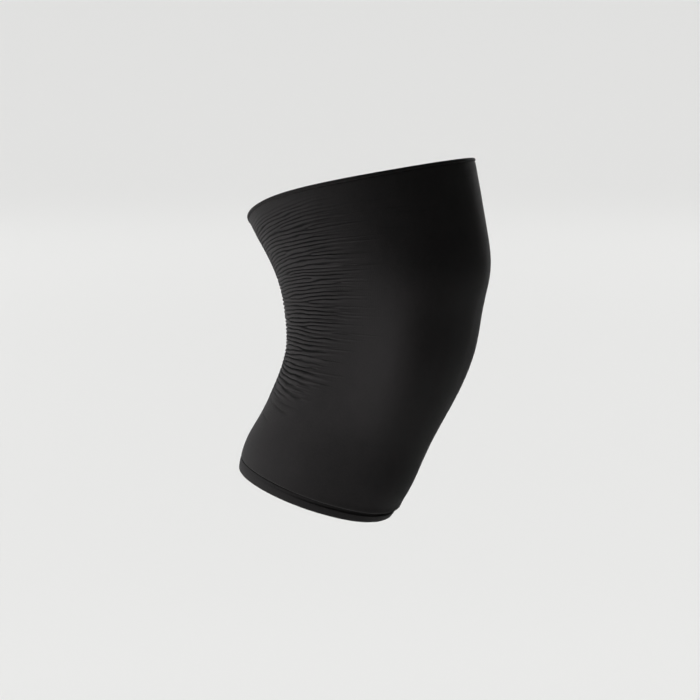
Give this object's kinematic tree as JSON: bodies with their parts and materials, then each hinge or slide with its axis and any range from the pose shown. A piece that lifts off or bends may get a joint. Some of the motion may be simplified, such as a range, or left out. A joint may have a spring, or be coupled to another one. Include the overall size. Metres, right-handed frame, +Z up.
{
  "type": "knee compression sleeve",
  "caption": "Knitted compression sleeve in its worn form on a bent knee: a tapered open tube, gathered in cross folds behind the knee, with a rolled upper edge and a turned lower hem.",
  "frame": {"origin": "centre of the knee inside the tube, level with the kneecap's lower edge", "axes": "+Z up the thigh, -Y out through the kneecap, X across the knee"},
  "size_m": [0.1462, 0.1769, 0.2502],
  "materials": {
    "tube_knit": "matt black fine knit with a soft sheen",
    "edge_knit": "matt black knit, rolled tight",
    "hem_knit": "matt black knit, doubled"
  },
  "bodies": {
    "root": {"sleeve_tube": "tube_knit", "thigh_edge": "edge_knit", "calf_hem": "hem_knit"}
  },
  "joints": []
}
